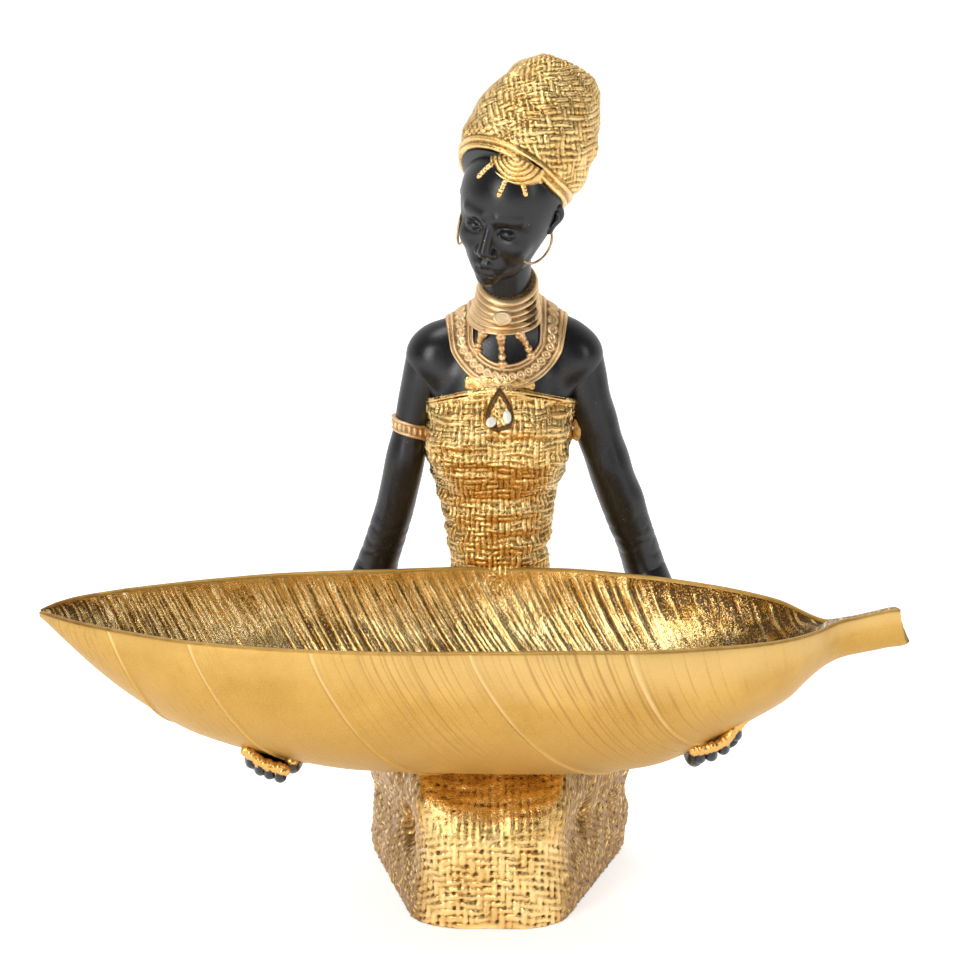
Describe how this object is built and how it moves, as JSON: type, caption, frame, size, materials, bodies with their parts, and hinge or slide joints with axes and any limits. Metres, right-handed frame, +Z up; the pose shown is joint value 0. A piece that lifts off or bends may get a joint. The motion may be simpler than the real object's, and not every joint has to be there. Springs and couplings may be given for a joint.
{
  "type": "kneeling woman with leaf bowl figurine",
  "caption": "Decorative resin figurine of a kneeling woman in a gold dress and turban with a long leaf-shaped bowl on her lap.",
  "frame": {"origin": "on the flat underside, under the middle of the kneeling legs", "axes": "+Z up, -Y towards the viewer whom the figure faces, +X at that viewer's right hand, along the leaf bowl to its stem"},
  "size_m": [0.305, 0.1497, 0.3021],
  "materials": {
    "gold_leaf": "shiny gold leaf paint on resin, worn dark in the pits of the woven pattern",
    "black_resin": "satin black paint on resin with a few tiny gold flecks: head, neck, chest, arms and hands",
    "wire": "thin bronze-coloured wire"
  },
  "bodies": {
    "root": {"figurine": "gold_leaf", "earring_left": "wire", "earring_right": "wire"}
  },
  "joints": []
}
